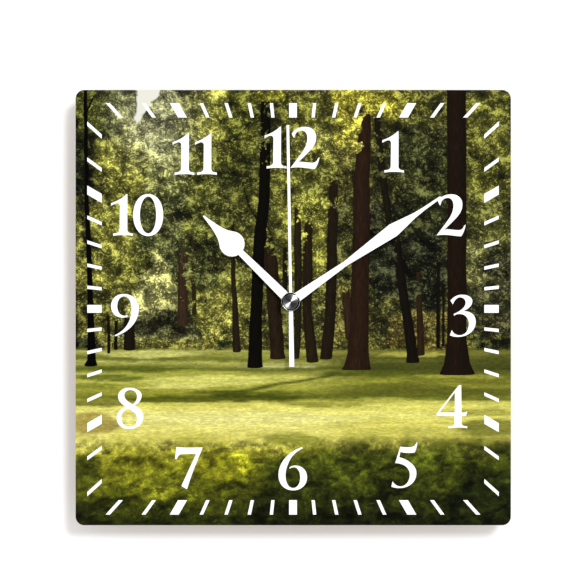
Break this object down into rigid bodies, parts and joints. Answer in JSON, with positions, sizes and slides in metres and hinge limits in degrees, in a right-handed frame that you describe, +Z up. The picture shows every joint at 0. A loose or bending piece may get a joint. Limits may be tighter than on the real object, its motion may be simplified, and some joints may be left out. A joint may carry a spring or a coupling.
{
  "type": "wall clock",
  "caption": "Frameless square wall clock: a thin printed board carries a quartz movement behind and white hour, minute and second hands in front.",
  "frame": {"origin": "where the hands' axis meets the wall plane, on the flat rear face of the movement's cover", "axes": "+Z up, the dial faces -Y, +X to the right as seen from the front"},
  "size_m": [0.25, 0.0327, 0.25],
  "materials": {
    "fibreboard": "matte",
    "printed_vinyl": "satin",
    "zinc_steel": "satin",
    "black_rubber": "matte",
    "brass": "polished",
    "black_abs": "fine grain",
    "white_acetal": "satin",
    "battery_jacket": "gloss",
    "laminate": "satin",
    "epoxy": "gloss",
    "copper_wire": "enamelled",
    "soft_iron": "satin",
    "magnet": "matte",
    "white_aluminium": "satin",
    "chrome": "turned and polished"
  },
  "bodies": {
    "clock_body": {"dial_board": "fibreboard", "printed_film": "printed_vinyl", "hanger_plate": "zinc_steel", "rubber_washer": "black_rubber", "brass_washer": "brass", "hex_nut": "brass", "case_front": "black_abs", "case_rear_cover": "black_abs", "gear_plate": "white_acetal", "battery_cell": "battery_jacket", "battery_positive_cap": "zinc_steel", "contact_positive": "zinc_steel", "contact_negative_spring": "zinc_steel", "circuit_board": "laminate", "chip": "epoxy", "crystal_can": "zinc_steel", "coil_bobbin": "white_acetal", "coil_winding": "copper_wire", "coil_core": "soft_iron", "stator": "soft_iron", "stator_screw_lower": "zinc_steel", "stator_screw_upper": "zinc_steel", "coil_lead_out": "copper_wire", "coil_lead_return": "copper_wire"},
    "rotor": {"rotor_magnet": "magnet", "rotor_pinion": "white_acetal"},
    "intermediate": {"intermediate_wheel": "white_acetal"},
    "seconds": {"seconds_wheel": "white_acetal", "seconds_arbor": "zinc_steel", "second_hand": "white_aluminium", "second_hand_tube": "brass", "second_hand_boss": "chrome"},
    "third": {"third_wheel": "white_acetal"},
    "centre": {"centre_wheel": "white_acetal"},
    "minutes": {"minute_pipe": "brass", "clutch_spring": "brass", "minute_hand": "white_aluminium", "minute_hand_bush": "brass"},
    "hours": {"hour_wheel": "white_acetal", "hour_hand": "white_aluminium", "hour_hand_bush": "brass"},
    "setting": {"motion_wheel": "white_acetal", "setting_knob": "black_abs"}
  },
  "joints": [
    {"name": "seconds_turn", "type": "hinge", "parent": "clock_body", "child": "seconds", "pos_m": [0, 0, 0], "axis": [0, 1, 0], "continuous": true},
    {"name": "third_turn", "type": "hinge", "parent": "clock_body", "child": "third", "pos_m": [-0.00274, 0, 0.00752], "axis": [0, 1, 0], "continuous": true},
    {"name": "centre_turn", "type": "hinge", "parent": "clock_body", "child": "centre", "pos_m": [0, 0, 0], "axis": [0, 1, 0], "continuous": true},
    {"name": "intermediate_turn", "type": "hinge", "parent": "clock_body", "child": "intermediate", "pos_m": [-0.00788, 0, -0.00139], "axis": [0, 1, 0], "continuous": true},
    {"name": "rotor_turn", "type": "hinge", "parent": "clock_body", "child": "rotor", "pos_m": [-0.01307, 0, 0.00161], "axis": [0, 1, 0], "continuous": true},
    {"name": "minute_turn", "type": "hinge", "parent": "clock_body", "child": "minutes", "pos_m": [0, 0, 0], "axis": [0, 1, 0], "continuous": true},
    {"name": "hour_turn", "type": "hinge", "parent": "clock_body", "child": "hours", "pos_m": [0, 0, 0], "axis": [0, 1, 0], "continuous": true},
    {"name": "knob_turn", "type": "hinge", "parent": "clock_body", "child": "setting", "pos_m": [0.0084, 0, 0], "axis": [0, 1, 0], "continuous": true}
  ],
  "couplings": [
    {"joint": "third_turn", "follows": "seconds_turn", "ratio": -0.13333},
    {"joint": "centre_turn", "follows": "seconds_turn", "ratio": 0.016667},
    {"joint": "intermediate_turn", "follows": "seconds_turn", "ratio": -6},
    {"joint": "rotor_turn", "follows": "seconds_turn", "ratio": 30},
    {"joint": "knob_turn", "follows": "minute_turn", "ratio": -0.33333},
    {"joint": "hour_turn", "follows": "minute_turn", "ratio": 0.083333}
  ]
}
